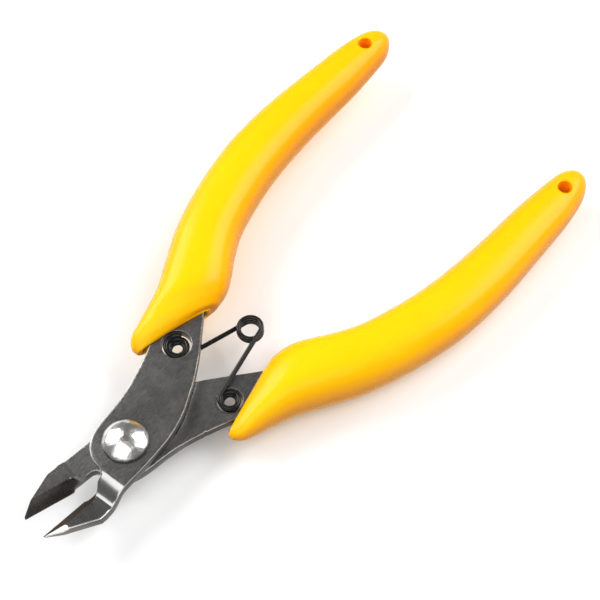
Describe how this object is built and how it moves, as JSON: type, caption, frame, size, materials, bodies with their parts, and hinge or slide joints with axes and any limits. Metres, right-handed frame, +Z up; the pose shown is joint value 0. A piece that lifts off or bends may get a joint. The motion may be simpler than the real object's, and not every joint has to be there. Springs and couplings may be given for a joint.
{
  "type": "flush cutter",
  "caption": "Compact spring-opened flush cutter with an angled cutting head, two stamped steel halves on a domed rivet and smooth plastic grips.",
  "frame": {"origin": "centre of the bounding box in X and Y at the surface the tool lies on (Z = 0), drawn open at its sprung rest position", "axes": "+Y from the cutting jaws toward the ends of the grips, +Z up along the rivet's axis, +X to the right seen from above, on the side of the lower half's grip"},
  "size_m": [0.0632, 0.1242, 0.0138],
  "materials": {
    "blade_steel": "darkened burnished tool steel, fine brushed",
    "rivet_steel": "polished bright",
    "grip_plastic": "smooth glossy yellow vinyl",
    "spring_wire": "black oxide spring wire"
  },
  "bodies": {
    "lower_half": {"lower_blade": "blade_steel", "pivot_rivet": "rivet_steel", "lower_grip": "grip_plastic"},
    "upper_half": {"upper_blade": "blade_steel", "upper_grip": "grip_plastic"},
    "spring_lower": {"spring_lower_arm": "spring_wire"},
    "spring_upper": {"spring_upper_arm": "spring_wire"}
  },
  "joints": [
    {"name": "handle_pivot", "type": "hinge", "parent": "lower_half", "child": "upper_half", "pos_m": [0, -0.04035, 0.00688], "axis": [0, 0, -1], "range_deg": [0, 11.5], "stiffness_Nm_per_rad": 0.25},
    {"name": "spring_lower_pivot", "type": "hinge", "parent": "lower_half", "child": "spring_lower", "pos_m": [0.00743, -0.0215, 0.00688], "axis": [0, 0, 1], "range_deg": [-14.5, 0]},
    {"name": "spring_coil_flex", "type": "hinge", "parent": "spring_lower", "child": "spring_upper", "pos_m": [0.0003, -0.00835, 0.00688], "axis": [0, 0, 1], "range_deg": [0, 17.5]}
  ],
  "couplings": [
    {"joint": "spring_lower_pivot", "follows": "handle_pivot", "ratio": -1.236},
    {"joint": "spring_coil_flex", "follows": "handle_pivot", "ratio": 1.5003}
  ]
}
